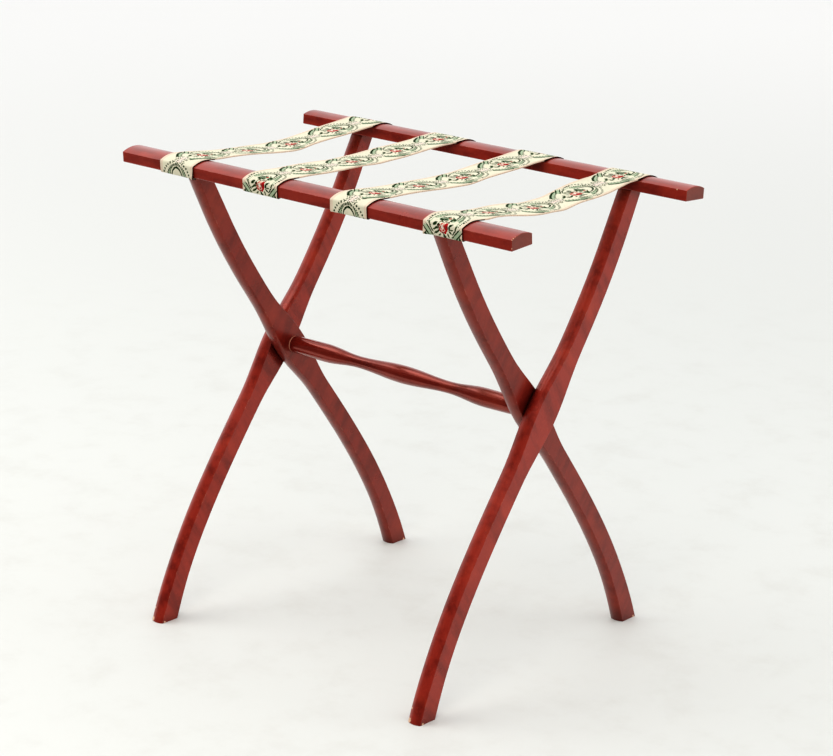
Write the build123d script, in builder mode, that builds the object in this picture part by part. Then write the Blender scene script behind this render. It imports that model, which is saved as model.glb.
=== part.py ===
from build123d import *
from math import asin, atan2, cos, hypot, pi, radians, sin, sqrt, tan
import os

# A folding luggage rack: two X-crossed frames of curved legs, each under its own rail, turn on
# pins at the ends of a turned stretcher and are held open by four webbing straps.
# Millimetres and degrees. X runs along the rails, +Y to the back, +Z up, floor at Z = 0.

os.makedirs("parts", exist_ok=True)

# ---------------------------------------------------------------- driving dimensions
# Rails
wood_height = 509.4  # floor to the crown of the rails
rail_length = 538.0
rail_depth = 30.4  # front to back
rail_side_height = 11.1  # flat part of the rail's side
rail_crown = 3.4  # rise of the arched top above the sides
rail_spread = 273.0  # between the centre lines of the two rails, rack open
rail_tilt = 3.6  # a rail's outer side lies lower, because the straps have stretched
rail_edge_radius = 1.0  # eased long edges underneath
rail_end_radius = 0.6  # eased edges of the end cuts

# Legs
leg_thickness = 16.4
leg_clear_width = 325.4  # between the inner legs
leg_gap = 1.2  # between an inner leg and the outer leg beside it
leg_width = 23.3
leg_pivot_width = 36.0  # at the swelling round the pivot
leg_foot_width = 25.6
leg_top_width = 21.2
leg_swell_reach = 76.0  # from the pivot to the end of the swelling, along the leg
leg_foot_flare = 95.0
leg_top_taper = 75.0
leg_crown = 2.4  # rise of the rounded narrow edges

# Centre line of an outer leg, seen from the side: foot in front, top at the back
foot_spread = 353.0  # between the centres of the front and back feet
foot_lean = 18.5  # from vertical
shin_out = 127.0  # a point of the lower curve, out from the pivot
shin_height = 105.0
pivot_height = 282.0
pivot_lean = 36.0
neck_out = 95.5  # a point of the upper curve, out from the pivot
neck_height = 420.0
top_inset = 1.3  # leg top's centre, in from the rail's centre line
top_lean = 28.0

# Stretcher
stretcher_middle_diameter = 19.6
stretcher_neck_diameter = 12.8
stretcher_neck_out = 65.0
stretcher_shoulder_diameter = 20.2
stretcher_shoulder_out = 114.0
stretcher_end_diameter = 19.0

# Pivot pins and washers
pin_diameter = 8.0
pin_depth_in_stretcher = 20.0
pin_depth_in_outer_leg = 11.5
pin_end_chamfer = 0.6
pin_end_relief = 0.5
pin_fixed_clearance = 0.02
pin_running_clearance = 0.06
washer_diameter = 22.0
washer_thickness = 1.0
washer_bore_clearance = 0.25

# Dowels between leg tops and rails
dowel_diameter = 8.0
dowel_depth_in_leg = 20.0
dowel_depth_in_rail = 9.5
dowel_inset = 5.0  # from the leg top's centre, towards the middle of the rack
dowel_end_chamfer = 0.8
dowel_end_relief = 0.4
dowel_clearance = 0.02

# Webbing straps
strap_sags = (10.0, 4.5, 7.0, 12.5)  # middle of each strap below the webbing over the rails
strap_inset = 84.5  # from a rail's end to the middle of the outermost strap
webbing_width = 49.0
webbing_thickness = 1.2
webbing_clearance = 0.15  # between webbing and wood
webbing_belly = 1.0  # degrees that a half strap bows below the straight line
webbing_tail = 20.0  # turned in under the rail
webbing_notch_clearance = 0.5  # round a leg top
webbing_smallest_tab = 6.0
webbing_split_clearance = 0.3  # between the parts of a strap that fold against each other

# Tacks
tack_head_diameter = 4.4
tack_head_thickness = 0.7
tack_shank_diameter = 1.3
tack_length = 8.0
tack_point_length = 2.5
tack_clearance = 0.02
tack_inset = 10.0  # from the rail's outer face
tack_spacing = 16.0

# ---------------------------------------------------------------- places worked out from them
tilt_sin, tilt_cos = sin(radians(rail_tilt)), cos(radians(rail_tilt))
rail_centre_y = rail_spread / 2
rail_crown_radius = ((rail_depth / 2) ** 2 + rail_crown**2) / (2 * rail_crown)
rail_crown_centre_up = rail_side_height + rail_crown - rail_crown_radius
rail_bottom_z = wood_height - rail_crown_radius - rail_crown_centre_up * tilt_cos

inner_leg_inside_x = leg_clear_width / 2
inner_leg_outside_x = inner_leg_inside_x + leg_thickness
outer_leg_inside_x = inner_leg_outside_x + leg_gap
inner_leg_x = inner_leg_inside_x + leg_thickness / 2
outer_leg_x = outer_leg_inside_x + leg_thickness / 2
leg_x = {"inner": inner_leg_x, "outer": outer_leg_x}
frame_side_y = {"inner": -1, "outer": 1}  # where each frame's rail lies
side_x = {"left": -1, "right": 1}
strap_pitch = (rail_length - 2 * strap_inset) / (len(strap_sags) - 1)
strap_xs = [strap_inset - rail_length / 2 + strap_pitch * i for i in range(len(strap_sags))]


def in_section(out, up):
    """(Y, Z) of a point in the back rail's section: out from its middle, up from its underside."""
    return (
        rail_centre_y + out * tilt_cos + up * tilt_sin,
        rail_bottom_z - out * tilt_sin + up * tilt_cos,
    )


def rail_plane(frame, x, out, up=0.0):
    """A plane parallel to a rail's underside, with its Z up and its Y towards the back."""
    y, z = in_section(out, up)
    s = frame_side_y[frame]
    return Plane(origin=(x, s * y, z), x_dir=(1, 0, 0), z_dir=(0, s * tilt_sin, tilt_cos))


leg_top_y, leg_top_z = in_section(-top_inset, 0)
rail_inner_y = in_section(-rail_depth / 2, 0)[0]
crown_centre_y, crown_centre_z = in_section(0, rail_crown_centre_up)


# ---------------------------------------------------------------- rails
# One blank, with a flat underside and an arched top, stands level over the origin.
with BuildPart() as rail_blank:
    with BuildSketch(Plane.YZ.offset(-rail_length / 2)):
        with BuildLine():
            Polyline(
                (rail_depth / 2, rail_side_height),
                (rail_depth / 2, 0),
                (-rail_depth / 2, 0),
                (-rail_depth / 2, rail_side_height),
            )
            ThreePointArc(
                (-rail_depth / 2, rail_side_height),
                (0, rail_side_height + rail_crown),
                (rail_depth / 2, rail_side_height),
            )
        make_face()
    extrude(amount=rail_length)
    underside_edges = rail_blank.edges().filter_by(Axis.X).group_by(Axis.Z)[0]
    fillet(underside_edges, radius=rail_edge_radius)
    fillet(rail_blank.faces().filter_by(Axis.X).edges(), radius=rail_end_radius)


def make_rail(frame):
    """A rail set at its tilt and bored for its dowels and tacks."""
    with BuildPart() as rail:
        with Locations(rail_plane(frame, 0, 0)):
            add(rail_blank.part)
        with Locations(*[-place for place in dowel_places(frame)]):
            Hole(dowel_diameter / 2 + dowel_clearance, depth=dowel_depth_in_rail)
        with Locations(*[-place for place in tack_places(frame)]):
            Hole(tack_shank_diameter / 2 + tack_clearance, depth=tack_length)
    return rail.part


def dowel_places(frame):
    """Where the dowels of one frame cross the joint between leg tops and rail."""
    out = -top_inset - dowel_inset
    return [rail_plane(frame, s * leg_x[frame], out) for s in side_x.values()]


# ---------------------------------------------------------------- webbing tails and their tacks
def tail_notch(frame, strap_x):
    """The stretch along X that a leg top takes out of a strap's tail, or None."""
    low, high = strap_x - webbing_width / 2, strap_x + webbing_width / 2
    for s in side_x.values():
        notch_low = s * leg_x[frame] - leg_thickness / 2 - webbing_notch_clearance
        notch_high = s * leg_x[frame] + leg_thickness / 2 + webbing_notch_clearance
        if notch_high > low and notch_low < high:
            if notch_low - low < webbing_smallest_tab:
                notch_low = low
            if high - notch_high < webbing_smallest_tab:
                notch_high = high
            return notch_low, notch_high
    return None


def tack_places(frame):
    """Two tacks in each tail, in the one tab or the two tabs that the leg top leaves."""
    places = []
    for strap_x in strap_xs:
        low, high = strap_x - webbing_width / 2, strap_x + webbing_width / 2
        notch = tail_notch(frame, strap_x)
        tabs = [(low, high)]
        if notch:
            tabs = [(a, b) for a, b in ((low, notch[0]), (notch[1], high)) if b > a]
        if len(tabs) == 2:
            xs = [(a + b) / 2 for a, b in tabs]
        else:
            middle = (tabs[0][0] + tabs[0][1]) / 2
            xs = [middle - tack_spacing / 2, middle + tack_spacing / 2]
        places += [rail_plane(frame, x, rail_depth / 2 - tack_inset) for x in xs]
    return places


# ---------------------------------------------------------------- legs
def leg_width_at(reach, lower_length, upper_length):
    """Width of a leg at a distance from the pivot, negative towards the foot."""
    width = leg_width
    if abs(reach) < leg_swell_reach:
        swell = cos(pi / 2 * reach / leg_swell_reach) ** 2
        width += (leg_pivot_width - leg_width) * swell
    foot = (-reach - (lower_length - leg_foot_flare)) / leg_foot_flare
    if foot > 0:
        width += (leg_foot_width - leg_width) * min(foot, 1) ** 2
    top = (reach - (upper_length - leg_top_taper)) / leg_top_taper
    if top > 0:
        width -= (leg_width - leg_top_width) * min(top, 1) ** 2
    return width


def lean_direction(lean):
    """Direction in the YZ plane that leans back from vertical."""
    return (sin(radians(lean)), cos(radians(lean)))


# The curved centre line, in two parts that meet at the pivot with one lean.
with BuildLine(Plane.YZ):
    lower_curve = Spline(
        (-foot_spread / 2, 0),
        (-shin_out, shin_height),
        (0, pivot_height),
        tangents=(lean_direction(foot_lean), lean_direction(pivot_lean)),
    )
with BuildLine(Plane.YZ):
    upper_curve = Spline(
        (0, pivot_height),
        (neck_out, neck_height),
        (leg_top_y, leg_top_z),
        tangents=(lean_direction(pivot_lean), lean_direction(top_lean)),
    )

# Sections stand close together in the swelling and further apart beyond it.
swell_steps = 4
plain_steps = 5
end_allowance = 14.0  # the blank runs on past floor and rail, and is cut to them there
swell_reaches = [leg_swell_reach * i / swell_steps for i in range(swell_steps + 1)]


def station_reaches(length):
    """Distances from the pivot along one half of the leg, past its end."""
    plain = length - leg_swell_reach
    beyond = [leg_swell_reach + plain * (i + 1) / plain_steps for i in range(plain_steps)]
    return swell_reaches + beyond + [length + end_allowance]


def leg_plane(reach):
    """The plane square to the centre line at a distance from the pivot."""
    curve, at = (upper_curve, reach) if reach >= 0 else (lower_curve, lower_curve.length + reach)
    on_curve = min(max(at / curve.length, 0), 1)
    heading = curve % on_curve
    spot = curve @ on_curve + heading * (at - on_curve * curve.length)
    return Plane(origin=spot, x_dir=(1, 0, 0), z_dir=heading)


lower_reaches = [-r for r in reversed(station_reaches(lower_curve.length)[1:])]
leg_reaches = lower_reaches + station_reaches(upper_curve.length)

# Each section has flat sides and rounded narrow edges.
half_thickness = leg_thickness / 2
with BuildPart() as outer_blank:
    for reach in leg_reaches:
        half_width = leg_width_at(reach, lower_curve.length, upper_curve.length) / 2
        half_flat = half_width - leg_crown
        with BuildSketch(leg_plane(reach)):
            with BuildLine():
                Line((half_thickness, -half_flat), (half_thickness, half_flat))
                ThreePointArc(
                    (half_thickness, half_flat), (0, half_width), (-half_thickness, half_flat)
                )
                Line((-half_thickness, half_flat), (-half_thickness, -half_flat))
                ThreePointArc(
                    (-half_thickness, -half_flat), (0, -half_width), (half_thickness, -half_flat)
                )
            make_face()
    loft()
    split(bisect_by=Plane.XY, keep=Keep.TOP)
    split(bisect_by=rail_plane("outer", 0, 0), keep=Keep.BOTTOM)

with BuildPart() as inner_blank:
    add(mirror(outer_blank.part, about=Plane.XZ, mode=Mode.PRIVATE))

leg_blanks = {"inner": inner_blank.part, "outer": outer_blank.part}


def make_leg(frame, side):
    """A leg with the bore for its pivot pin and the blind hole for its dowel."""
    s = side_x[side]
    with BuildPart() as leg:
        with Locations((s * leg_x[frame], 0, 0)):
            add(leg_blanks[frame])
        if frame == "inner":
            with Locations(Plane((s * inner_leg_outside_x, 0, pivot_height), z_dir=(s, 0, 0))):
                Hole(pin_diameter / 2 + pin_fixed_clearance, depth=leg_thickness)
        else:
            with Locations(Plane((s * outer_leg_inside_x, 0, pivot_height), z_dir=(-s, 0, 0))):
                Hole(
                    pin_diameter / 2 + pin_running_clearance,
                    depth=pin_depth_in_outer_leg + pin_end_relief,
                )
        with Locations(*[place for place in dowel_places(frame) if place.origin.X * s > 0]):
            Hole(
                dowel_diameter / 2 + dowel_clearance,
                depth=dowel_depth_in_leg + dowel_end_relief,
            )
    return leg.part


# ---------------------------------------------------------------- stretcher
# A turned spindle: a swell in the middle, two necks, and shoulders beside the legs.
with BuildPart() as stretcher:
    with BuildSketch(Plane(origin=(0, 0, pivot_height), x_dir=(1, 0, 0), z_dir=(0, -1, 0))):
        with BuildLine():
            Spline(
                (0, stretcher_middle_diameter / 2),
                (stretcher_neck_out, stretcher_neck_diameter / 2),
                tangents=((1, 0), (1, 0)),
            )
            Spline(
                (stretcher_neck_out, stretcher_neck_diameter / 2),
                (stretcher_shoulder_out, stretcher_shoulder_diameter / 2),
                tangents=((1, 0), (1, 0)),
            )
            Spline(
                (stretcher_shoulder_out, stretcher_shoulder_diameter / 2),
                (inner_leg_inside_x, stretcher_end_diameter / 2),
                tangents=((1, 0), (1, 0)),
            )
            Polyline(
                (inner_leg_inside_x, stretcher_end_diameter / 2),
                (inner_leg_inside_x, 0),
                (0, 0),
                (0, stretcher_middle_diameter / 2),
            )
        make_face()
    revolve(axis=Axis((0, 0, pivot_height), (1, 0, 0)))
    mirror(about=Plane.YZ)
    for s in side_x.values():
        with Locations(Plane((s * inner_leg_inside_x, 0, pivot_height), z_dir=(s, 0, 0))):
            Hole(
                pin_diameter / 2 + pin_fixed_clearance,
                depth=pin_depth_in_stretcher + pin_end_relief,
            )


# ---------------------------------------------------------------- pivot pins and washers
def make_pin(side):
    """A steel pin from the stretcher through the inner leg into the outer leg."""
    s = side_x[side]
    start = inner_leg_inside_x - pin_depth_in_stretcher
    end = outer_leg_inside_x + pin_depth_in_outer_leg
    with BuildPart() as pin:
        with BuildSketch(Plane((s * start, 0, pivot_height), z_dir=(s, 0, 0))):
            Circle(pin_diameter / 2)
        extrude(amount=end - start)
        chamfer(pin.edges().filter_by(GeomType.CIRCLE), length=pin_end_chamfer)
    return pin.part


def make_washer(side):
    """A thin washer that keeps the two legs from rubbing."""
    s = side_x[side]
    start = inner_leg_outside_x + (leg_gap - washer_thickness) / 2
    with BuildPart() as washer:
        with BuildSketch(Plane((s * start, 0, pivot_height), z_dir=(s, 0, 0))):
            Circle(washer_diameter / 2)
            Circle(pin_diameter / 2 + washer_bore_clearance, mode=Mode.SUBTRACT)
        extrude(amount=washer_thickness)
    return washer.part


# ---------------------------------------------------------------- dowels
def make_dowels(frame):
    """The dowels that join one frame's leg tops to its rail."""
    length = dowel_depth_in_leg + dowel_depth_in_rail - dowel_end_relief
    with BuildPart() as dowels:
        with Locations(*[place.offset(-dowel_depth_in_leg) for place in dowel_places(frame)]):
            Cylinder(
                dowel_diameter / 2, length, align=(Align.CENTER, Align.CENTER, Align.MIN)
            )
        chamfer(dowels.edges().filter_by(GeomType.CIRCLE), length=dowel_end_chamfer)
    return dowels.part


# ---------------------------------------------------------------- tacks
def make_tacks(frame):
    """Flat-headed tacks driven up through the strap tails into the rail."""
    head_top = webbing_clearance + webbing_thickness  # below the rail's underside
    with BuildPart() as tacks:
        with BuildSketch(Plane.XZ):
            with BuildLine():
                Polyline(
                    (0, tack_length - tack_clearance),
                    (tack_shank_diameter / 2, tack_length - tack_point_length),
                    (tack_shank_diameter / 2, -head_top),
                    (tack_head_diameter / 2, -head_top),
                    (tack_head_diameter / 2, -head_top - tack_head_thickness),
                    (0, -head_top - tack_head_thickness),
                    close=True,
                )
            make_face()
        revolve(axis=Axis.Z)
    with BuildPart() as driven:
        with Locations(*tack_places(frame)):
            add(tacks.part)
    return driven.part


# ---------------------------------------------------------------- straps
# Every path below is the webbing's inner face, drawn for the back rail and mirrored to the
# front. The webbing lies outside it.
wrap_radius = rail_crown_radius + webbing_clearance
wrap_out = rail_depth / 2 + webbing_clearance
wrap_shoulder_up = rail_crown_centre_up + sqrt(wrap_radius**2 - wrap_out**2)
wrap_top_z = crown_centre_z + wrap_radius


def leave_angle(sag):
    """Slope of a strap where it leaves the crown: tangent to it from mid-span, plus the belly."""
    drop = crown_centre_z - (wrap_top_z - sag)
    to_centre = atan2(drop, crown_centre_y)
    return to_centre + asin(wrap_radius / hypot(drop, crown_centre_y)) + radians(webbing_belly)


def leave_point(sag):
    """Where a strap leaves the crown, in the YZ plane."""
    angle = leave_angle(sag)
    return (
        crown_centre_y - wrap_radius * sin(angle),
        crown_centre_z + wrap_radius * cos(angle),
    )


def on_leaving_line(sag, y):
    """The point at a given Y on the straight run that leaves the crown."""
    leave_y, leave_z = leave_point(sag)
    return (y, leave_z - (leave_y - y) * tan(leave_angle(sag)))


def make_wrap(frame, strap_x, sag):
    """The end of a strap: tail under the rail, up its outer side and over its crown."""
    path_end = on_leaving_line(sag, rail_inner_y + webbing_split_clearance / 2)
    with BuildPart() as wrap:
        with BuildSketch(Plane.YZ.offset(strap_x - webbing_width / 2)):
            with BuildLine():
                Polyline(
                    in_section(rail_depth / 2 - webbing_tail, -webbing_clearance),
                    in_section(wrap_out, -webbing_clearance),
                    in_section(wrap_out, wrap_shoulder_up),
                )
                ThreePointArc(
                    in_section(wrap_out, wrap_shoulder_up),
                    (crown_centre_y, wrap_top_z),
                    leave_point(sag),
                )
                Line(leave_point(sag), path_end)
                offset(amount=webbing_thickness, side=Side.RIGHT)
            make_face()
        extrude(amount=webbing_width)
        notch = tail_notch(frame, strap_x)
        if notch:
            leg_outer_edge = leg_width / 2 / cos(radians(top_lean)) - top_inset
            reach_in = rail_depth / 2 + leg_outer_edge + webbing_notch_clearance
            middle_x = (notch[0] + notch[1]) / 2
            with Locations(rail_plane("outer", middle_x, -rail_depth / 2, -webbing_clearance)):
                Box(
                    notch[1] - notch[0],
                    reach_in,
                    2 * webbing_thickness,
                    align=(Align.CENTER, Align.MIN, Align.CENTER),
                    mode=Mode.SUBTRACT,
                )
        if frame == "inner":
            add(mirror(wrap.part, about=Plane.XZ, mode=Mode.PRIVATE), mode=Mode.REPLACE)
        tacks = [t for t in tack_places(frame) if abs(t.origin.X - strap_x) < webbing_width / 2]
        with Locations(*tacks):
            Hole(tack_shank_diameter / 2 + tack_clearance, depth=2 * webbing_thickness)
    return wrap.part


def make_half_span(frame, strap_x, sag):
    """Half of the free run of a strap, from the rail's inner edge to mid-span."""
    start = on_leaving_line(sag, rail_inner_y - webbing_split_clearance / 2)
    middle = (webbing_split_clearance, wrap_top_z - sag)
    heading = (-cos(leave_angle(sag)), -sin(leave_angle(sag)))
    with BuildPart() as span:
        with BuildSketch(Plane.YZ.offset(strap_x - webbing_width / 2)):
            with BuildLine():
                TangentArc(start, middle, tangent=heading)
                offset(amount=webbing_thickness, side=Side.RIGHT)
            make_face()
        extrude(amount=webbing_width)
        if frame == "inner":
            add(mirror(span.part, about=Plane.XZ, mode=Mode.PRIVATE), mode=Mode.REPLACE)
    return span.part


# ---------------------------------------------------------------- write every piece
def write(name, piece):
    """Label a finished piece and write it to its own file."""
    piece.label = name
    export_step(piece, f"parts/{name}.step")


rail_names = {"inner": "front", "outer": "back"}

for frame, place in rail_names.items():
    write(f"{place}_rail", make_rail(frame))
    write(f"{place}_rail_dowels", make_dowels(frame))
    write(f"{place}_tacks", make_tacks(frame))
    for number, (strap_x, sag) in enumerate(zip(strap_xs, strap_sags), start=1):
        write(f"strap_{number}_{place}_wrap", make_wrap(frame, strap_x, sag))
        write(f"strap_{number}_{place}_half", make_half_span(frame, strap_x, sag))
    for side in side_x:
        write(f"{frame}_leg_{side}", make_leg(frame, side))

write("stretcher", stretcher.part)
for side in side_x:
    write(f"pivot_pin_{side}", make_pin(side))
    write(f"pivot_washer_{side}", make_washer(side))
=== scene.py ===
from math import asin, cos, hypot, pi, radians, sin, sqrt

import bmesh
import bpy
from mathutils import Matrix, Vector


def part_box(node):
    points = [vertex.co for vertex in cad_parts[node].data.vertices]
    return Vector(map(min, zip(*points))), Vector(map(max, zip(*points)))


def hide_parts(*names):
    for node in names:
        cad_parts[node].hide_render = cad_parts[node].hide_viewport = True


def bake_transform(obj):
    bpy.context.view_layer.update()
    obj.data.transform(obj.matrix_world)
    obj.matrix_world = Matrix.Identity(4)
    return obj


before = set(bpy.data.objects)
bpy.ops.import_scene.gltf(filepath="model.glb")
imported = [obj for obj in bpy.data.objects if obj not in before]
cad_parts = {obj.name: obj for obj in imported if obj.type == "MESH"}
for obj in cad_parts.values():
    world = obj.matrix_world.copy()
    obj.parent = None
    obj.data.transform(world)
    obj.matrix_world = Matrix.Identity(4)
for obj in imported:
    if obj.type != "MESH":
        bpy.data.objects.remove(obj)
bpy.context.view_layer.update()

# A folding luggage rack, dressed piece by piece in the order in which it is put together.
# Metres; X runs along the rails, +Y to the back, +Z up, floor at Z = 0.


# ------------------------------------------------------------------ curved legs
# Four legs, bandsawn from 16 mm beech and shaped to a long S. They are stained mahogany red
# and sprayed with a semi-gloss lacquer, which has worn pale on the arrises and chipped at
# the feet.

leg_lean = {"inner": radians(32), "outer": radians(-32)}  # of the grain, from foot to top
deep_red = (0.115, 0.0070, 0.0050, 1)
mahogany_red = (0.255, 0.0215, 0.0130, 1)
amber_red = (0.420, 0.0460, 0.0200, 1)
end_grain_brown = (0.078, 0.026, 0.018, 1)
leg_brightness = {"inner": 0.62, "outer": 0.96}  # of the stain, as a share of the rails'
painted_corner_shade = (0.016, 0.0010, 0.0008, 1)  # painted shade: dark where pieces meet, after ambient occlusion
painted_shade_reach = 0.030  # how far out of a corner the painted shade reaches
eased_arris = 0.0009  # radius to which the arrises are sanded
# pale wear on the arrises, also used for the painted highlight ring at the stretcher's ends
pale_wear_and_highlight = (0.56, 0.25, 0.17, 1)
chipped_wood = (0.66, 0.43, 0.28, 1)
lacquer_red = (1.0, 0.17, 0.09, 1)  # the tinted lacquer colours what it mirrors
sprayed = {"roughness": 0.30, "refraction": 1.6, "pores": 0.22}


def plug(tree, node, inputs):
    """Sets the inputs of a shader node to values or to the outputs of other nodes."""
    for key, value in inputs.items():
        if isinstance(value, bpy.types.NodeSocket):
            tree.links.new(value, node.inputs[key])
        else:
            node.inputs[key].default_value = value


def put(tree, kind, inputs=None, **settings):
    """A new shader node with its settings and inputs."""
    made = tree.nodes.new("ShaderNode" + kind)
    for name, value in settings.items():
        setattr(made, name, value)
    plug(tree, made, inputs or {})
    return made


def calc(tree, operation, a, b=0.0, c=0.0):
    """A sum, product or comparison of numbers."""
    return put(tree, "Math", {0: a, 1: b, 2: c}, operation=operation).outputs[0]


def calc_vector(tree, operation, a, b):
    """The same for vectors, with a vector as the answer."""
    return put(tree, "VectorMath", {0: a, 1: b}, operation=operation).outputs["Vector"]


def measure(tree, operation, a, b=(0, 0, 0)):
    """A number from vectors: a length, a distance or a dot product."""
    return put(tree, "VectorMath", {0: a, 1: b}, operation=operation).outputs["Value"]


def scaled(tree, vector, share):
    """A vector or a colour times a number."""
    return put(tree, "VectorMath", {0: vector, "Scale": share}, operation="SCALE").outputs[0]


def parts_of(tree, vector):
    """The X, Y and Z of a vector."""
    return put(tree, "SeparateXYZ", {0: vector}).outputs


def ease(tree, value, low, high, to_low=0.0, to_high=1.0):
    """A smooth step of a value between two limits."""
    inputs = {"Value": value, 1: low, 2: high, 3: to_low, 4: to_high}
    return put(tree, "MapRange", inputs, interpolation_type="SMOOTHSTEP").outputs["Result"]


def mix(tree, share, ground, over):
    """Two colours mixed by a share from 0 to 1."""
    inputs = {0: share, 6: ground, 7: over}
    return put(tree, "Mix", inputs, data_type="RGBA").outputs[2]


def grain_noise(tree, place, scale, detail=2.0, rough=0.5, seed=0.0):
    """Noise at a number of swells to the metre."""
    inputs = {"Vector": place, "W": seed, "Scale": scale, "Detail": detail, "Roughness": rough}
    return put(tree, "TexNoise", inputs, noise_dimensions="4D").outputs["Fac"]


def new_material(name):
    """An empty node material, its tree and its principled shader."""
    material = bpy.data.materials.new(name)
    material.use_nodes = True
    tree = material.node_tree
    tree.nodes.clear()
    shader = put(tree, "BsdfPrincipled")
    put(tree, "OutputMaterial", {"Surface": shader.outputs[0]})
    return material, tree, shader


def mahogany(
    name,
    grain_turn,
    seed,
    chips=(),
    polish=sprayed,
    brightness=1.0,
    cut_across=0.0,
    rim_highlight_ring=None,
):
    """Red stained and lacquered wood. Chips are (place, radius) of spots of bare wood.

    cut_across is how brown the ends are, where they are cut across the grain. The last argument
    is between which distances from a spindle's middle a pale ring, a painted highlight, sets in.
    """
    material, tree, shader = new_material(name)
    place = put(tree, "TexCoord").outputs["Object"]
    along = put(tree, "Mapping", {"Vector": place, "Rotation": grain_turn}).outputs[0]
    drawn_out = calc_vector(tree, "MULTIPLY", along, (0.22, 1, 1))
    fibres = calc_vector(tree, "MULTIPLY", along, (0.035, 1, 1))

    figure = grain_noise(tree, drawn_out, 75, 3.0, 0.55, seed)
    clouds = grain_noise(tree, along, 26, 2.0, 0.5, seed + 5)
    fleck = grain_noise(tree, along, 330, 2.0, 0.6, seed + 9)
    pores = grain_noise(tree, fibres, 1500, 1.0, 0.5, seed + 2)
    stain = mix(tree, ease(tree, figure, 0.30, 0.62), deep_red, mahogany_red)
    stain = mix(tree, ease(tree, clouds, 0.48, 0.78, 0, 0.55), stain, amber_red)
    stain = mix(tree, ease(tree, fleck, 0.52, 0.72, 0, 0.28), stain, amber_red)
    stain = mix(tree, ease(tree, pores, 0.60, 0.72, 0, 0.45), stain, deep_red)
    stain = scaled(tree, stain, brightness)

    # brown ends, painted shade in the corners, and arrises worn through here and there
    eased = put(tree, "Bevel", {"Radius": eased_arris}, samples=4).outputs[0]
    face = put(tree, "NewGeometry").outputs["Normal"]
    end_cut = calc(tree, "ABSOLUTE", parts_of(tree, face)[0])
    end_cut = calc(tree, "MULTIPLY", calc(tree, "GREATER_THAN", end_cut, 0.95), cut_across)
    stain = mix(tree, end_cut, stain, end_grain_brown)
    # painted shade: the colour darkens where ambient occlusion finds other pieces near
    corner = put(tree, "AmbientOcclusion", {"Distance": painted_shade_reach}, samples=8).outputs["AO"]
    stain = mix(tree, ease(tree, corner, 0.85, 0.30, 0, 0.80), stain, painted_corner_shade)
    arris = ease(tree, measure(tree, "DOT_PRODUCT", eased, face), 0.985, 0.93)
    scuffed = ease(tree, grain_noise(tree, along, 120, 3.0, 0.6, seed + 3), 0.50, 0.66)
    wear = calc(tree, "MULTIPLY", arris, calc(tree, "MULTIPLY", scuffed, 0.55))
    colour = mix(tree, wear, stain, pale_wear_and_highlight)
    # a pale ring painted near a spindle's ends: a painted highlight at its rim beside the legs
    if rim_highlight_ring:
        from_middle = calc(tree, "ABSOLUTE", parts_of(tree, place)[0])
        colour = mix(tree, ease(tree, from_middle, *rim_highlight_ring), colour, pale_wear_and_highlight)

    ragged = grain_noise(tree, place, 900, 2.0, 0.6, seed + 7)
    for spot, radius in chips:
        reach = measure(tree, "DISTANCE", place, spot)
        torn = calc(tree, "MULTIPLY_ADD", ragged, 1.1 * radius, reach)
        colour = mix(tree, ease(tree, torn, 1.5 * radius, 1.3 * radius), colour, chipped_wood)

    orange_peel = grain_noise(tree, along, 420, 2.0, 0.5, seed + 4)
    uneven = {
        "Strength": polish["pores"],
        "Distance": 0.0003,
        "Height": calc(tree, "MULTIPLY_ADD", pores, 0.35, orange_peel),
        "Normal": eased,
    }
    surface = put(tree, "Bump", uneven).outputs[0]
    smoothest = polish["roughness"] - 0.05
    roughest = polish["roughness"] + 0.10
    plug(tree, shader, {
        "Base Color": colour,
        "Roughness": ease(tree, clouds, 0.2, 0.8, smoothest, roughest),
        "Normal": surface,
        "Coat Normal": surface,
        "IOR": polish["refraction"],
        "Specular IOR Level": 0.8,
        "Specular Tint": lacquer_red,
        "Coat Weight": 0.34,
        "Coat Roughness": 0.16,
    })
    return material


def finish_with(material, *nodes):
    """Gives pieces of the frame their finish."""
    for name in nodes:
        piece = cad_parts[name]
        piece.data.materials.clear()
        piece.data.materials.append(material)


def foot_chips(name):
    """Chips at a leg's toe, which points away from the middle of the rack, and their radii."""
    low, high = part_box(name)
    toe = low.y if name.startswith("outer") else high.y
    inward = 0.003 if name.startswith("outer") else -0.003
    return [
        (Vector((low.x + 0.002, toe + inward, 0.002)), 0.0032),
        (Vector((low.x + 0.001, toe + 2 * inward, 0.014)), 0.0016),
        (Vector((low.x + 0.001, toe + 4 * inward, 0.030)), 0.0012),
        (Vector((high.x - 0.001, toe + 2 * inward, 0.001)), 0.0018),
    ]


# The grain of a leg runs from foot to top; turning the place lays it along the noise's X.
leg_names = ["inner_leg_left", "inner_leg_right", "outer_leg_left", "outer_leg_right"]
for number, name in enumerate(leg_names):
    pair = name.split("_")[0]
    turn = (leg_lean[pair], radians(90), 0)
    chips = foot_chips(name)
    wood = mahogany(name + "_wood", turn, 3.1 * number, chips, brightness=leg_brightness[pair])
    finish_with(wood, name)


# ------------------------------------------------------------------ stretcher
# A spindle turned between centres and polished on the lathe, so its lacquer is glossier than
# that of the legs. Its ends are glued against the inner legs.

stretcher_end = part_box("stretcher")[1].x
# where the painted highlight ring lies, just inside the stretcher's ends
highlight_beside_legs = (stretcher_end - 0.0016, stretcher_end - 0.0012)
lathe_polished = {"roughness": 0.14, "refraction": 1.75, "pores": 0.04}
stretcher_wood = mahogany(
    "stretcher_wood",
    (0, 0, 0),
    17.0,
    polish=lathe_polished,
    brightness=leg_brightness["inner"],
    rim_highlight_ring=highlight_beside_legs,
)
finish_with(stretcher_wood, "stretcher")


# ------------------------------------------------------------------ pivots
# Bright steel pins that run from the stretcher through the inner legs into the outer legs,
# with a thin steel washer between the two legs of each pair.

steel_grey = (0.56, 0.56, 0.57, 1)


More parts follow.
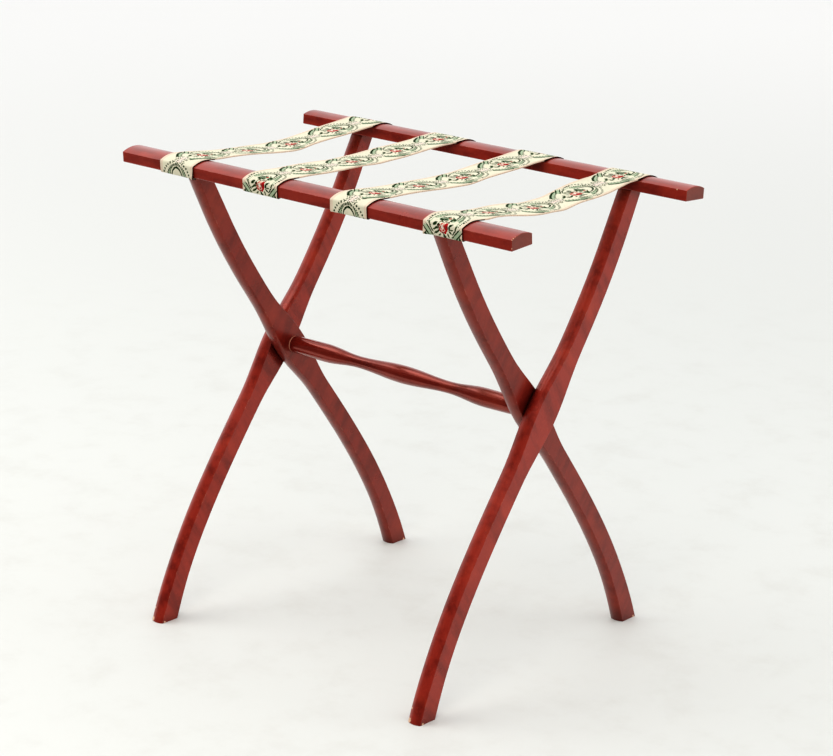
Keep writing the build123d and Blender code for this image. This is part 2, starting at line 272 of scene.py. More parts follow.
def steel(name, colour, brushed_along):
    """Drawn steel with fine lines along its length."""
    material, tree, shader = new_material(name)
    place = put(tree, "TexCoord").outputs["Object"]
    lines = grain_noise(tree, calc_vector(tree, "MULTIPLY", place, brushed_along), 2500, 1.0)
    darker = tuple(0.8 * c for c in colour)
    plug(tree, shader, {
        "Base Color": mix(tree, ease(tree, lines, 0.35, 0.65), darker, colour),
        "Roughness": ease(tree, lines, 0.3, 0.7, 0.24, 0.42),
        "Metallic": 1,
    })
    return material


bright_steel = steel("bright_steel", steel_grey, (0.05, 1, 1))
for side in ("left", "right"):
    finish_with(bright_steel, "pivot_pin_" + side, "pivot_washer_" + side)


# ------------------------------------------------------------------ rails
# Two straight rails with an arched top, moulded from the same beech and finished like the
# legs. Corners at their ends are knocked.

rail_low, rail_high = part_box("front_rail")
back_low, back_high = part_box("back_rail")
chip_x = rail_high.x - 0.0003  # just under the end of the front rail
top_chips = [(0.0008, 0.0042, 0.0006), (0.0030, 0.0030, 0.0007), (0.0056, 0.0019, 0.0005)]
front_rail_chips = []
for inward, down, radius in top_chips:
    spot = Vector((chip_x, rail_low.y + inward, rail_high.z - down))
    front_rail_chips.append((spot, radius))
spot = Vector((chip_x, rail_low.y + 0.0009, rail_low.z + 0.0030))
front_rail_chips.append((spot, 0.0006))
back_rail_chip = Vector((back_high.x - 0.012, back_low.y + 0.0006, back_high.z - 0.0030))
rail_chips = {"front_rail": front_rail_chips, "back_rail": [(back_rail_chip, 0.0009)]}
for name, seed in (("front_rail", 23.0), ("back_rail", 31.0)):
    wood = mahogany(name + "_wood", (0, 0, 0), seed, rail_chips[name], cut_across=0.75)
    finish_with(wood, name)


# ------------------------------------------------------------------ dowels
# Plain beech dowels, which join the legs to the rails. They are glued into the leg tops and
# the undersides of the rails, out of sight.

beech = (0.60, 0.41, 0.25, 1)
beech_dark = (0.47, 0.29, 0.16, 1)
bare_wood, tree, shader = new_material("bare_beech")
place = put(tree, "TexCoord").outputs["Object"]
streaks = grain_noise(tree, calc_vector(tree, "MULTIPLY", place, (1, 1, 0.05)), 900, 2.0)
plug(tree, shader, {
    "Base Color": mix(tree, ease(tree, streaks, 0.4, 0.65), beech, beech_dark),
    "Roughness": ease(tree, streaks, 0.3, 0.7, 0.6, 0.8),
})
finish_with(bare_wood, "front_rail_dowels", "back_rail_dowels")


# ------------------------------------------------------------------ webbing straps
# Four straps of jacquard tapestry webbing, cream with a green vine and red roses woven in.
# Each goes over both rails, is turned in below them and tacked there, and has stretched in
# the middle. A strap folds at mid-span, so it is made as a front and a back half.

webbing_thickness = 0.0012
webbing_gap = 0.00015  # between webbing and wood
tail_length = 0.020  # turned in under a rail
rail_depth = 0.0304
rail_side = 0.0111  # height of a rail's flat side
crown_rise = 0.0034  # of its arched top
rail_edge = 0.0010  # eased edge below it
rail_tilt = radians(3.6)  # outer side down
arris_radius = 0.0016  # of webbing over the edge of the crown
valley = 0.07  # how round the fold at mid-span is, as a share of the half span
steeper_at_rail = 1.09  # slope at which the webbing leaves the crown, against a straight run's
leg_notch_gap = 0.0005  # round a leg top, where a tail is slit
smallest_tab = 0.006  # a narrower tab beside a leg top is cut away
whole_tail = 0.0044  # of the tail, between the leg top and the rail's outer edge
columns = 24  # of faces across a strap
edge_column = 0.001  # width of the columns at its edges
crown_row = 0.0012  # length of a row of faces over the crown
free_row = 0.0016  # and in the free run

crown_radius = ((rail_depth / 2) ** 2 + crown_rise**2) / (2 * crown_rise)
crown_centre_up = rail_side + crown_rise - crown_radius
rail_y = back_high.y - rail_depth / 2 * cos(rail_tilt) - rail_side * sin(rail_tilt)
rail_z = back_high.z - crown_radius - crown_centre_up * cos(rail_tilt)
lift = webbing_gap + webbing_thickness / 2  # middle of the webbing above the wood


def on_rail(out, up):
    """(y, z) of a point in the back rail's section: out from its middle, up from its underside."""
    return (
        rail_y + out * cos(rail_tilt) + up * sin(rail_tilt),
        rail_z - out * sin(rail_tilt) + up * cos(rail_tilt),
    )


outer_y = on_rail(rail_depth / 2, 0)[0]
inner_y = on_rail(-rail_depth / 2, 0)[0]
crown_centre_y, crown_centre_z = on_rail(0, crown_centre_up)

# How each strap hangs: twist of its free run, the ripple of its edges and where that ripple
# peaks in front of (-) or behind (+) mid-span, and how far its left and right edges have
# curled where it goes round the lower edge of the front rail.
hangs = {
    1: {"twist": 0.0008, "ripple": 0.0006, "peak": 0.038, "left_curl": 0, "right_curl": 0.0016},
    2: {"twist": 0.0003, "ripple": 0.0005, "peak": -0.020, "left_curl": 0, "right_curl": 0.0003},
    3: {"twist": 0.0006, "ripple": 0.0004, "peak": 0.030, "left_curl": 0.0004, "right_curl": 0},
    4: {"twist": 0.0002, "ripple": 0.0013, "peak": 0.014, "left_curl": 0.0013, "right_curl": 0},
}
ripple_length = 0.110
lift_off = 0.022  # of free run over which the twist and ripple set in
curl_reach = 0.010  # of webbing on each side of the rail's lower edge that has curled
curl_lip = 0.004  # of tail next to the rail's outer face that stands out as far as the curl
curl_behind = 0.4  # share of it by which the rest of the tail stands out
curl_drop = 0.6  # share of it by which a curl hangs down
flat_at_fold = 0.030  # of each half that lies flat at mid-span, so the halves fold flat together
shadow_edge_set = 0  # first of the face, back and edge of the webbing on a rail; the edge is painted dark as shadow
clean_set = 3  # and of its free run


def ease_in(share):
    """A smooth step from 0 to 1 as a share of its length."""
    share = max(0.0, min(1.0, share))
    return share * share * (3 - 2 * share)


def arc(centre, radius, start, end, step=0.0006):
    """Points of an arc in the YZ plane; angles are from +Z towards +Y."""
    count = max(2, round(abs(end - start) * radius / step))
    angles = [start + (end - start) * i / count for i in range(count + 1)]
    return [(centre[0] + radius * sin(a), centre[1] + radius * cos(a)) for a in angles]


def straight(start, end, step=0.0015):
    """Points of a straight line after its start."""
    count = max(1, round(hypot(end[0] - start[0], end[1] - start[1]) / step))
    share = [i / count for i in range(1, count + 1)]
    return [tuple(a + (b - a) * t for a, b in zip(start, end)) for t in share]


def webbing_line(middle_z):
    """The middle of a back half strap as (y, z), from its tail under the rail to mid-span."""
    over_crown = crown_radius + lift
    fall = crown_centre_z + over_crown - middle_z
    leave = -steeper_at_rail * fall / crown_centre_y
    side_out = rail_depth / 2 + lift
    arris_out = side_out - arris_radius
    arris_up = crown_centre_up + sqrt(over_crown**2 - arris_out**2) - arris_radius
    crown_start = asin((side_out - arris_radius / 2) / over_crown)

    line = [(rail_depth / 2 - tail_length, -lift)]
    bend = arc((rail_depth / 2 - rail_edge, rail_edge), rail_edge + lift, pi, pi / 2)
    line += straight(line[0], bend[0]) + bend[1:]
    arris = arc((arris_out, arris_up), arris_radius, pi / 2, crown_start)
    line += straight(line[-1], arris[0]) + arris[1:]
    line += arc((0, crown_centre_up), over_crown, crown_start, leave - rail_tilt, crown_row)[1:]
    line = [on_rail(out, up) for out, up in line]

    start_y, start_z = line[-1]
    count = round(start_y / free_row)
    for i in range(1, count + 1):
        t = 1 - i / count
        drop = (sqrt(t * t + valley**2) - valley) / (sqrt(1 + valley**2) - valley)
        line.append((start_y * t, middle_z + (start_z - middle_z) * drop))
    return line


def lengths_along(line):
    """Length of a line up to each of its points."""
    along = [0.0]
    for a, b in zip(line, line[1:]):
        along.append(along[-1] + hypot(b[0] - a[0], b[1] - a[1]))
    return along


def notch_beside(strap_low, strap_high, leg_names):
    """The stretch along X that a leg top takes out of a tail, or None."""
    for name in leg_names:
        low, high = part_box(name)
        left = low.x - leg_notch_gap
        right = high.x + leg_notch_gap
        if right > strap_low and left < strap_high:
            left = strap_low if left - strap_low < smallest_tab else left
            right = strap_high if strap_high - right < smallest_tab else right
            return left, right
    return None


def columns_across(half_width, cuts):
    """Where the columns of a strap's faces lie from its middle, with one at each cut."""
    across = [half_width * (2 * i / columns - 1) for i in range(columns + 1)]
    across[1] = edge_column - half_width
    across[-2] = half_width - edge_column
    return sorted(set(round(u, 6) for u in across + cuts))


def half_strap_mesh(number, end, low, high, line, along):
    """The sheet of a half strap, with its twist, ripple, curled corners and notch."""
    toward = {"front": -1, "back": 1}[end]
    leg_frame = {"front": "inner", "back": "outer"}[end]
    centre_x = (low.x + high.x) / 2
    half_width = (high.x - low.x) / 2
    notch = notch_beside(low.x, high.x, [f"{leg_frame}_leg_left", f"{leg_frame}_leg_right"])
    across = columns_across(half_width, [x - centre_x for x in notch or ()])
    hang = hangs[number]
    crown_top = max(range(len(line)), key=lambda i: line[i][1])

    work = bmesh.new()
    weave = work.loops.layers.uv.new("weave")
    rows = []
    for i, (y, z) in enumerate(line):
        free = ease_in((inner_y - y) / lift_off) if i > crown_top else 0.0
        free *= ease_in(y / flat_at_fold)
        ripple = sin(2 * pi * (toward * y - hang["peak"]) / ripple_length + pi / 2)
        slope = free * (hang["twist"] + hang["ripple"] * ripple) / half_width
        near_edge = ease_in(1 - abs(along[i] - tail_length) / curl_reach) if end == "front" else 0
        row = []
        for u in across:
            curl = hang["right_curl" if u > 0 else "left_curl"] * (u / half_width) ** 4
            curl = curl * near_edge
            out = curl * (1 if y > outer_y - curl_lip else curl_behind)
            place = (centre_x + u, toward * (y + out), z + slope * u - curl_drop * curl)
            row.append(work.verts.new(place))
        rows.append(row)

    for i in range(len(line) - 1):
        for j in range(len(across) - 1):
            middle = centre_x + (across[j] + across[j + 1]) / 2
            in_notch = notch and notch[0] < middle < notch[1]
            if in_notch and along[i] < tail_length - whole_tail:
                continue
            corners = [(i, j), (i, j + 1), (i + 1, j + 1), (i + 1, j)]
            if end == "back":
                corners.reverse()
            face = work.faces.new([rows[r][c] for r, c in corners])
            face.smooth = True
            face.material_index = shadow_edge_set if line[i][0] > inner_y else clean_set
            for loop, (r, c) in zip(face.loops, corners):
                length = along[r] if end == "front" else 2 * along[-1] - along[r]
                loop[weave].uv = (across[c] * 1000, (length - tail_length) * 1000)
    loose = [v for v in work.verts if not v.link_faces]
    bmesh.ops.delete(work, geom=loose, context="VERTS")
    for edge in work.edges:
        edge.smooth = not edge.is_boundary

    mesh = bpy.data.meshes.new(f"strap_{number}_{end}")
    work.to_mesh(mesh)
    work.free()
    return mesh


def lay_half_strap(number, end):
    """The front or back half of a strap, as a thin sheet that follows its rail."""
    low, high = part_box(f"strap_{number}_{end}_half")
    line = webbing_line(low.z + webbing_thickness / 2)
    along = lengths_along(line)
    mesh = half_strap_mesh(number, end, low, high, line, along)
    for edge in (painted_shadow_edge, clean_edge):
        for material in (webbing_face[number], webbing_back, edge):
            mesh.materials.append(material)

    strap = bpy.data.objects.new(mesh.name, mesh)
    bpy.context.scene.collection.objects.link(strap)
    shell = strap.modifiers.new("thickness", "SOLIDIFY")
    shell.thickness = webbing_thickness
    shell.offset = 0
    shell.material_offset = 1
    shell.material_offset_rim = 2
    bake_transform(strap)
    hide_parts(f"strap_{number}_{end}_wrap", f"strap_{number}_{end}_half")


# The pattern repeats along the strap. A rose with its leaves lies in a medallion: two dark
# rings with beads outside them close it above, a leafy trellis closes it below and at the
# edges, and short sprigs join it to the next. Sizes in millimetres from the middle of the
# medallion, x across, y along.
repeats = {1: 66.0, 2: 68.5, 3: 66.0, 4: 68.5}  # two of the straps have stretched more
thread = 0.52  # width of one
thread_spread = 0.15  # by which the threads of a leaf or petal spread over the ground
outer_ring = {"centre": (0, 10.6, 0), "half_size": (14.8, 17.8, 1), "radius": 16.2}
inner_ring = {"centre": (0, 12.0, 0), "half_size": (8.4, 13.8, 1), "radius": 10.8}
bead_ring = {"centre": (0, 12.0, 0), "half_size": (20.6, 19.8, 1), "radius": 20.2}
ring_bumps = 44.0  # waves in the outline of the whole outer ring
bump_rise = 0.32
bead_spacing = 3.6
arch_foot = 15.2  # height at which the rings begin in the middle
arch_spread = 0.35  # and how fast that falls towards the edges
inner_ring_foot = 14.0  # of the inner ring's dark line
trellis_start = (9.5, -25.0)
trellis_run = (0.561, 0.829)  # direction in which it climbs to the edge
trellis_length = 20.5
trellis_bulge = 1.5
tick_length = 2.6  # of one stitch and the gap after it, in the broken lines
sway_length = 5.2  # of one wave of a sprig
medallion_top = 38.0
medallion_middle = 5.0
medallion_reach = 26.5  # from its middle up or down to the sprigs
woven_half_width = 21.0  # the rest is plain selvage
first_rose = {1: 48.5, 2: 9.0, 3: 48.5, 4: 9.0}  # from the lower edge of the front rail

selvage_cream = (0.77, 0.65, 0.51, 1)
ground_cream = (0.79, 0.77, 0.60, 1)
leaf_green = (0.010, 0.034, 0.007, 1)
pale_green = (0.40, 0.50, 0.34, 1)
olive = (0.050, 0.072, 0.024, 1)
rose_red = (0.43, 0.012, 0.014, 1)
rose_salmon = (0.60, 0.15, 0.11, 1)
rose_pink = (0.80, 0.52, 0.42, 1)
rose_brown = (0.17, 0.022, 0.016, 1)
twig_brown = (0.11, 0.065, 0.035, 1)
white_thread = (0.82, 0.79, 0.69, 1)

# (x, y, half length, half width, turn in degrees, thread); the edge leaves lie on both sides
edge_leaves = [
    (18.4, -4.4, 7.0, 1.5, 46, pale_green),
    (16.9, -2.9, 6.6, 0.6, 46, leaf_green),
    (20.0, -5.8, 7.0, 0.65, 46, leaf_green),
    (14.4, -2.4, 3.8, 0.6, 50, leaf_green),
    (16.6, 2.2, 2.6, 0.7, 56, olive),
    (12.8, -7.4, 1.6, 0.7, 30, olive),
]
leaves_and_petals = [
    (0.6, -11.6, 3.4, 0.5, 70, twig_brown),
    (-1.9, -14.6, 3.4, 1.7, -48, olive),
    (-1.4, -15.2, 2.6, 0.8, -48, leaf_green),
    (3.6, -13.2, 2.4, 1.0, 38, olive),
    (4.4, -13.8, 1.4, 0.5, 38, leaf_green),
    (-5.2, -11.4, 2.0, 0.7, 20, olive),
    (0.4, -19.6, 1.0, 2.2, 0, pale_green),
    (0.9, -19.8, 0.5, 1.6, 0, olive),
    (-3.2, 11.2, 6.2, 3.4, 14, pale_green),
    (-3.9, 11.8, 5.0, 2.0, 18, leaf_green),
    (-6.2, 9.6, 2.6, 1.7, -14, leaf_green),
    (-1.4, 10.0, 1.7, 1.0, 40, leaf_green),
    (-3.4, 11.8, 3.4, 0.4, 16, pale_green),
    (6.6, 11.8, 4.4, 3.0, -38, pale_green),
    (7.2, 12.6, 3.0, 1.5, -30, leaf_green),
    (5.4, 10.2, 2.0, 1.3, -62, leaf_green),
    (7.0, 11.6, 2.4, 0.4, -38, olive),
    (-4.6, 6.6, 2.6, 0.5, 62, twig_brown),
    (5.2, 6.9, 2.4, 0.5, -58, twig_brown),
    (-9.8, 3.0, 2.5, 1.5, 28, leaf_green),
    (-8.2, -0.8, 2.6, 0.9, 32, leaf_green),
    (-10.6, -2.4, 1.8, 0.7, 40, olive),
    (-6.2, -4.4, 2.8, 0.9, 44, leaf_green),
    (-9.0, -5.6, 1.8, 0.7, 44, olive),
    (-5.8, 2.4, 1.6, 0.8, 50, leaf_green),
    (-3.4, -7.0, 1.8, 0.7, 30, olive),
    (9.8, 3.4, 2.6, 1.0, 40, leaf_green),
    (8.4, 0.4, 1.2, 2.0, 14, leaf_green),
    (11.4, -0.6, 1.7, 0.7, 8, olive),
    (9.6, -3.4, 2.2, 0.9, -30, leaf_green),
    (7.2, -6.4, 1.8, 0.8, -55, olive),
    (2.8, -8.4, 3.0, 1.3, -60, leaf_green),
    (0.6, 7.6, 2.6, 0.5, 70, twig_brown),
    (3.2, 6.8, 2.0, 0.5, 22, twig_brown),
    (-2.6, 6.4, 1.8, 0.5, -30, olive),
    (1.6, 13.2, 1.5, 1.1, 0, rose_red),
    (-1.4, 16.0, 2.0, 0.8, 30, leaf_green),
    (3.4, 15.8, 1.8, 0.6, -34, twig_brown),
    (0.6, 0.0, 5.0, 4.4, 20, rose_pink),
    (-4.4, 1.8, 0.7, 1.5, -22, rose_brown),
    (-5.6, -0.6, 0.6, 1.3, -30, olive),
    (-3.7, -1.6, 0.7, 1.4, 10, rose_red),
    (-2.8, 0.8, 0.5, 1.1, -30, olive),
    (-2.4, -3.6, 1.5, 0.8, -40, rose_red),
    (-1.6, 3.6, 1.3, 0.7, 30, rose_salmon),
    (-0.6, 0.6, 1.2, 2.2, -20, white_thread),
    (-2.0, -0.4, 0.5, 1.5, 16, rose_salmon),
    (0.4, -4.6, 1.3, 0.7, 0, rose_brown),
    (1.2, 1.8, 0.6, 1.2, -10, rose_salmon),
    (1.0, -2.0, 1.2, 0.6, 24, rose_red),
    (4.2, 3.2, 1.9, 2.3, -24, rose_red),
    (4.6, -0.6, 1.5, 2.6, 6, rose_red),
    (3.4, -4.0, 1.8, 1.2, 30, rose_red),
    (2.6, 0.4, 0.5, 1.9, 8, rose_brown),
    (5.9, 1.0, 0.6, 1.5, 0, rose_brown),
]


def make_woven_spot():
    """A node group that lays an oval of one thread colour over the ground."""
    group = bpy.data.node_groups.new("woven_spot", "ShaderNodeTree")
    for name, kind in (
        ("Ground", "Color"),
        ("Thread", "Color"),
        ("Place", "Vector"),
        ("Centre", "Vector"),
        ("Half size", "Vector"),
        ("Turn", "Float"),
    ):
        group.interface.new_socket(name, in_out="INPUT", socket_type="NodeSocket" + kind)
    group.interface.new_socket("Color", in_out="OUTPUT", socket_type="NodeSocketColor")
    given = group.nodes.new("NodeGroupInput").outputs
    from_centre = calc_vector(group, "SUBTRACT", given["Place"], given["Centre"])
    turn = {"Vector": from_centre, "Angle": given["Turn"]}
    turned = put(group, "VectorRotate", turn, rotation_type="Z_AXIS").outputs[0]
    drawn_in = calc_vector(group, "DIVIDE", turned, given["Half size"])
    inside = calc(group, "LESS_THAN", measure(group, "LENGTH", drawn_in), 1.0)
    result = group.nodes.new("NodeGroupOutput")
    group.links.new(mix(group, inside, given["Ground"], given["Thread"]), result.inputs[0])
    return group


woven_spot = make_woven_spot()


def wave(tree, value, rate):
    """A sine along a value, in radians to its unit."""
    return calc(tree, "SINE", calc(tree, "MULTIPLY", value, rate))


def above(tree, value, limit):
    """1 where a value is above a limit, else 0."""
    return calc(tree, "GREATER_THAN", value, limit)


def band(tree, value, middle, half):
    """1 where a value lies within half of middle, else 0."""
    return put(tree, "Math", {0: value, 1: middle, 2: half}, operation="COMPARE").outputs[0]


def all_of(tree, *shares):
    """1 where all are 1."""
    result = shares[0]
    for share in shares[1:]:
        result = calc(tree, "MULTIPLY", result, share)
    return result


def weave_bands(tree, colour, rows):
    """Bands of one thread each: a value, its middle, half the width, the thread and where."""
    for value, middle, half, thread_colour, where in rows:
        share = all_of(tree, band(tree, value, middle, half), *where)
        colour = mix(tree, share, colour, thread_colour)
    return colour


def inside_ring(tree, place, ring):
    """How far a place lies inside an oval ring, and its direction from the ring's centre."""
    from_centre = calc_vector(tree, "SUBTRACT", place, ring["centre"])
    drawn_in = calc_vector(tree, "DIVIDE", from_centre, ring["half_size"])
    parts = parts_of(tree, drawn_in)
    direction = calc(tree, "ARCTAN2", parts[0], parts[1])
    reach = measure(tree, "LENGTH", drawn_in)
    return calc(tree, "MULTIPLY_ADD", reach, -ring["radius"], ring["radius"]), direction


def weave_rings(tree, colour, place, side, y):
    """The two rings of the medallion over a pale green ground, and the beads outside them."""
    in_outer, around = inside_ring(tree, place, outer_ring)
    in_inner = inside_ring(tree, place, inner_ring)[0]
    in_beads, bead_turn = inside_ring(tree, place, bead_ring)
    bumps = wave(tree, around, ring_bumps)
    bumpy = calc(tree, "MULTIPLY_ADD", bumps, bump_rise, in_outer)
    broken = above(tree, bumps, -0.6)
    bead_rate = 2 * pi * bead_ring["radius"] / bead_spacing
    beads = above(tree, wave(tree, bead_turn, bead_rate), -0.1)
    arch = above(tree, calc(tree, "MULTIPLY_ADD", side, arch_spread, y), arch_foot)
    arch_top = above(tree, y, inner_ring_foot)

    outside_inner = calc(tree, "LESS_THAN", in_inner, -0.4)
    between = all_of(tree, outside_inner, above(tree, in_outer, 0.2), arch)
    colour = mix(tree, between, colour, pale_green)
    return weave_bands(tree, colour, [
        (in_inner, -1.6, 0.80, ground_cream, [arch]),
        (in_inner, -3.1, 0.70, olive, [arch, broken]),
        (in_inner, 0.0, 0.95, leaf_green, [arch_top]),
        (bumpy, -0.2, 1.00, leaf_green, [arch, broken]),
        (in_beads, 0.0, 1.05, leaf_green, [arch, beads]),
    ])


def weave_trellis(tree, colour, side, y, ticks):
    """The trellis that closes the medallion below, and its upright lines near the edges."""
    right = calc(tree, "SUBTRACT", side, trellis_start[0])
    up = calc(tree, "SUBTRACT", y, trellis_start[1])
    along = calc(tree, "MULTIPLY", right, trellis_run[0] / trellis_length)
    along = calc(tree, "MULTIPLY_ADD", up, trellis_run[1] / trellis_length, along)
    outside = calc(tree, "MULTIPLY", right, trellis_run[1])
    outside = calc(tree, "MULTIPLY_ADD", up, -trellis_run[0], outside)
    bow = calc(tree, "MULTIPLY", along, calc(tree, "SUBTRACT", 1.0, along))
    outside = calc(tree, "MULTIPLY_ADD", bow, -4 * trellis_bulge, outside)
    lower = all_of(tree, band(tree, along, 0.52, 0.56), above(tree, side, 6.8))
    beside = band(tree, y, 9.0, 6.0)
    return weave_bands(tree, colour, [
        (outside, -1.6, 2.0, pale_green, [lower]),
        (outside, 0.6, 1.30, leaf_green, [lower]),
        (outside, -3.9, 0.80, leaf_green, [lower, ticks]),
        (side, 19.2, 0.75, leaf_green, [beside, ticks]),
        (side, 16.4, 0.75, pale_green, [beside]),
    ])


def weave_sprigs(tree, colour, side, y, ticks):
    """The short sprigs that join a medallion to the next."""
    from_middle = calc(tree, "ABSOLUTE", calc(tree, "SUBTRACT", y, medallion_middle))
    neck = above(tree, from_middle, medallion_reach)
    sway = wave(tree, y, 2 * pi / sway_length)
    sprig = calc(tree, "MULTIPLY_ADD", sway, -1.4, side)
    return weave_bands(tree, colour, [
        (side, 1.4, 2.6, white_thread, [neck]),
        (side, 2.2, 0.40, twig_brown, [neck, ticks]),
        (sprig, 4.4, 0.75, twig_brown, [neck, ticks]),
        (sprig, 7.2, 0.95, leaf_green, [neck, ticks]),
        (side, 0.4, 0.40, rose_pink, [neck, ticks]),
    ])


def weave_spots(tree, colour, place, spots):
    """Leaves and petals, each an oval of one thread."""
    for x, y, length, width, turn, thread_colour in spots:
        spot = tree.nodes.new("ShaderNodeGroup")
        spot.node_tree = woven_spot
        plug(tree, spot, {
            "Ground": colour,
            "Place": place,
            "Thread": thread_colour,
            "Centre": (x, y, 0),
            "Half size": (length + thread_spread, width + thread_spread, 1),
            "Turn": -radians(turn),
        })
        colour = spot.outputs[0]
    return colour


def weave_colour(tree, rose_at, repeat):
    """Colour of the woven face from the UV place, and the place itself in millimetres."""
    flat = put(tree, "UVMap", uv_map="weave").outputs[0]
    wobble = put(tree, "TexNoise", {"Vector": flat, "Scale": 0.35, "Detail": 1.0}).outputs["Color"]
    wobble = calc_vector(tree, "SUBTRACT", wobble, (0.5, 0.5, 0.5))
    wobble = calc_vector(tree, "MULTIPLY", wobble, (1.1, 1.1, 0))
    drawn = calc_vector(tree, "ADD", flat, wobble)
    stepped = calc_vector(tree, "SNAP", drawn, (thread, thread, 1))
    x, from_edge = parts_of(tree, stepped)[:2]
    from_rose = calc(tree, "SUBTRACT", from_edge, rose_at)
    y = calc(tree, "WRAP", from_rose, medallion_top, medallion_top - repeat)
    side = calc(tree, "ABSOLUTE", x)
    place = put(tree, "CombineXYZ", {0: x, 1: y}).outputs[0]
    mirrored = put(tree, "CombineXYZ", {0: side, 1: y}).outputs[0]
    ticks = above(tree, wave(tree, y, 2 * pi / tick_length), -0.3)

    woven = calc(tree, "LESS_THAN", side, woven_half_width)
    colour = mix(tree, woven, selvage_cream, ground_cream)
    colour = weave_rings(tree, colour, place, side, y)
    colour = weave_trellis(tree, colour, side, y, ticks)
    colour = weave_sprigs(tree, colour, side, y, ticks)
    colour = weave_spots(tree, colour, mirrored, edge_leaves)
    colour = weave_spots(tree, colour, place, leaves_and_petals)
    return colour, flat


def thread_noise(tree, flat, scale, detail):
    """Noise at a number of swells to the millimetre of webbing."""
    inputs = {"Vector": flat, "Scale": scale, "Detail": detail}
    return put(tree, "TexNoise", inputs).outputs["Fac"]


def webbing(name, rose_at, repeat, washed):
    """Tapestry webbing; washed mutes the colours, as on the back of the weave."""
    material, tree, shader = new_material(name)
    colour, flat = weave_colour(tree, rose_at, repeat)
    colour = mix(tree, washed, colour, selvage_cream)
    uneven = thread_noise(tree, flat, 1.7, 2.0)
    age = thread_noise(tree, flat, 0.045, 3.0)
    shade = ease(tree, age, 0.3, 0.7, 0.93, 1.0)
    shade = calc(tree, "MULTIPLY", shade, ease(tree, uneven, 0.3, 0.7, 0.86, 1.0))
    ribs = parts_of(tree, calc_vector(tree, "MULTIPLY", flat, (pi / thread, pi / thread, 0)))
    warps = calc(tree, "ABSOLUTE", calc(tree, "SINE", ribs[0]))
    picks = calc(tree, "ABSOLUTE", calc(tree, "SINE", ribs[1]))
    height = calc(tree, "MULTIPLY", warps, picks)
    bump = put(tree, "Bump", {"Strength": 0.5, "Distance": 0.00018, "Height": height})
    plug(tree, shader, {
        "Base Color": scaled(tree, colour, shade),
        "Roughness": ease(tree, uneven, 0.3, 0.7, 0.72, 0.92),
        "Normal": bump.outputs[0],
        "Specular IOR Level": 0.08,
    })
    return material


def cut_edge(name, colour):
    """The edge of the webbing, where only its warp shows."""
    material, tree, shader = new_material(name)
    flat = put(tree, "UVMap", uv_map="weave").outputs[0]
    speckle = ease(tree, thread_noise(tree, flat, 1.7, 2.0), 0.35, 0.65)
    plug(tree, shader, {
        "Base Color": mix(tree, speckle, tuple(0.7 * c for c in colour), colour),
        "Roughness": 0.9,
        "Specular IOR Level": 0.08,
    })
    return material


webbing_face = {}
for number, rose_at in first_rose.items():
    face_name = f"webbing_face_{number}"
    webbing_face[number] = webbing(face_name, rose_at, repeats[number], 0.0)
webbing_back = webbing("webbing_back", 0.0, repeats[1], 0.6)
painted_shadow_edge = cut_edge("painted_shadow_edge", (0.035, 0.010, 0.008, 1))  # painted shadow: dark along the cut edge where it lies on a rail
clean_edge = cut_edge("clean_edge", (0.66, 0.50, 0.38, 1))
for number in hangs:
    for end in ("front", "back"):
        lay_half_strap(number, end)


# ------------------------------------------------------------------ tacks
# Flat-headed tacks of blued steel. They are driven up through the tails of the straps into
# the undersides of the rails.

tack_blue = (0.10, 0.11, 0.14, 1)
finish_with(steel("blued_steel", tack_blue, (1, 1, 0.2)), "front_tacks", "back_tacks")


# ------------------------------------------------------------------ studio
# A plain pale floor with walls at the sides and in front, four softboxes and the camera. What
# the lacquer would mirror in front of the rack is dim or hidden from it.

room = 16.0  # from the rack to the side walls and to the back edge of the floor
room_front = -9.0
floor_split = -0.85  # the floor in front of this is hidden from the lacquer
room_height = 9.0
# painted light: the floor is darker near the rack and paler far off, where the softboxes light it
# less
near_floor = (0.655, 0.67, 0.65, 1)
far_floor = (0.90, 0.90, 0.89, 1)
floor_marks = (0.56, 0.56, 0.53, 1)

pale_floor, tree, shader = new_material("pale_floor")
place = put(tree, "TexCoord").outputs["Object"]
away = measure(tree, "LENGTH", place)
marks = grain_noise(tree, place, 14, 5.0, 0.65)
marks = calc(tree, "MULTIPLY", ease(tree, marks, 0.45, 0.75, 0, 0.4), ease(tree, away, 1.8, 0.6))
shade = mix(tree, ease(tree, away, 0.8, 4.5), near_floor, far_floor)
shade = mix(tree, marks, shade, floor_marks)
plug(tree, shader, {"Base Color": shade, "Roughness": 0.6})


def lay_stage(name, corners, faces, mirrored):
    """A piece of floor or wall, which the lacquer mirrors or not."""
    mesh = bpy.data.meshes.new(name)
    mesh.from_pydata(corners, [], faces)
    mesh.materials.append(pale_floor)
    panel = bpy.data.objects.new(name, mesh)
    bpy.context.scene.collection.objects.link(panel)
    panel.visible_glossy = mirrored
    panel.visible_diffuse = mirrored


def lay_floor(name, front, back, mirrored):
    """A strip of floor from wall to wall."""
    corners = [(-room, front, 0), (room, front, 0), (room, back, 0), (-room, back, 0)]
    lay_stage(name, corners, [(0, 1, 2, 3)], mirrored)


lay_floor("floor", floor_split, room, True)
lay_floor("floor_in_front", room_front, floor_split, False)
wall_line = [(-room, room), (-room, room_front), (room, room_front), (room, room)]
wall_foot = [(x, y, 0) for x, y in wall_line]
wall_top = [(x, y, room_height) for x, y in wall_line]
corners = len(wall_line)
wall_faces = [(i, i + 1, corners + i + 1, corners + i) for i in range(corners - 1)]
lay_stage("far_walls", wall_foot + wall_top, wall_faces, False)

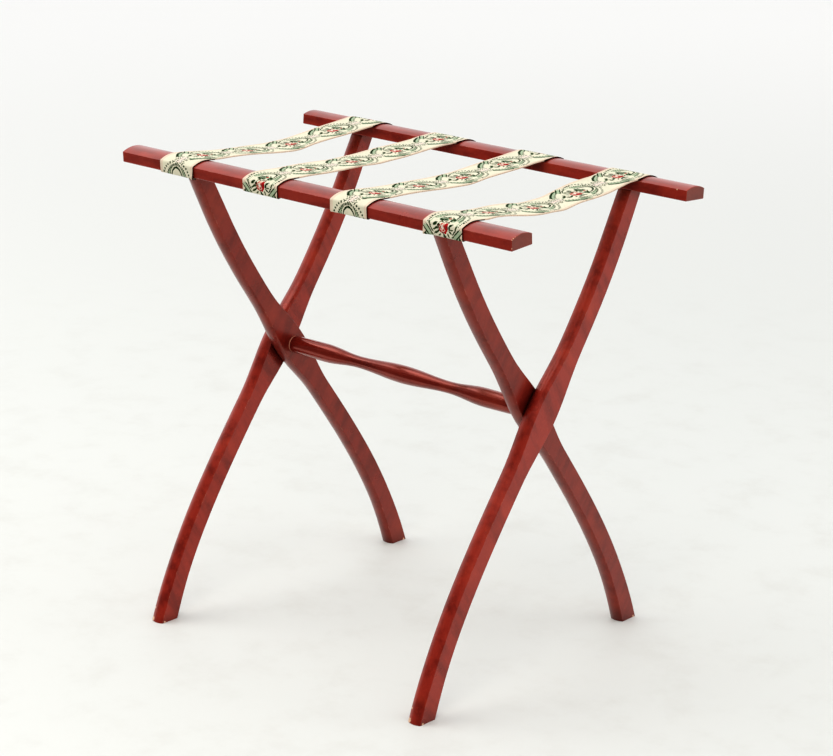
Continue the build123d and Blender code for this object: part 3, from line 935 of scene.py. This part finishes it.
camera_place = Vector((1.72851, -1.92239, 1.08828))
camera_forward = Vector((-0.6343581, 0.71288796, -0.29896582)).normalized()
camera_right = Vector((0.74407144, 0.66795452, 0.01394473)).normalized()
camera_up = camera_right.cross(camera_forward)
camera = bpy.data.objects.new("camera", bpy.data.cameras.new("camera"))
bpy.context.scene.collection.objects.link(camera)
camera.data.sensor_width = 36
camera.data.lens = 110.02
axes = Matrix((camera_right, camera_up, -camera_forward)).transposed()
camera.matrix_world = Matrix.Translation(camera_place) @ axes.to_4x4()
bpy.context.scene.camera = camera

world = bpy.data.worlds.new("studio")
world.use_nodes = True
tree = world.node_tree
tree.nodes.clear()
direction = put(tree, "TexCoord").outputs["Generated"]
in_front = (-0.20, -0.97, -0.10)  # middle of the dim side
facing = ease(tree, measure(tree, "DOT_PRODUCT", direction, in_front), 0.28, 0.75)
not_overhead = ease(tree, parts_of(tree, direction)[2], 0.85, 0.60)
dim = calc(tree, "MULTIPLY", facing, not_overhead)
shade = mix(tree, dim, (1, 1, 1, 1), (0.13, 0.125, 0.12, 1))
background = put(tree, "Background", {"Color": shade, "Strength": 0.98})
put(tree, "OutputWorld", {"Surface": background.outputs[0]})
bpy.context.scene.world = world


def soft_light(name, place, aim, size, power, colour=(1, 1, 1), mirrored=True):
    """A large softbox, which the lacquer mirrors or not."""
    light = bpy.data.lights.new(name, "AREA")
    light.shape = "RECTANGLE"
    light.size, light.size_y = size
    light.energy = power
    light.color = colour
    lamp = bpy.data.objects.new(name, light)
    bpy.context.scene.collection.objects.link(lamp)
    lamp.visible_camera = False
    lamp.visible_glossy = mirrored
    lamp.location = place
    lamp.rotation_euler = (Vector(aim) - Vector(place)).to_track_quat("-Z", "Y").to_euler()


warm = (1.0, 0.92, 0.82)
soft_light("overhead_softbox", (-1.2, -0.6, 2.6), (0, 0, 0.3), (1.8, 1.8), 16)
soft_light("left_softbox", (-1.95, -1.90, 1.45), (0, 0, 0.35), (2.4, 0.8), 18, warm, mirrored=False)
soft_light("front_softbox", (1.2, -2.4, 2.2), (0, 0, 0.4), (1.6, 1.6), 24, warm, mirrored=False)
soft_light("right_softbox", (1.5, 1.1, 1.1), (0, 0, 0.3), (0.8, 0.8), 3)
bpy.context.scene.view_settings.view_transform = "Standard"
bpy.context.scene.view_settings.look = "Medium High Contrast"
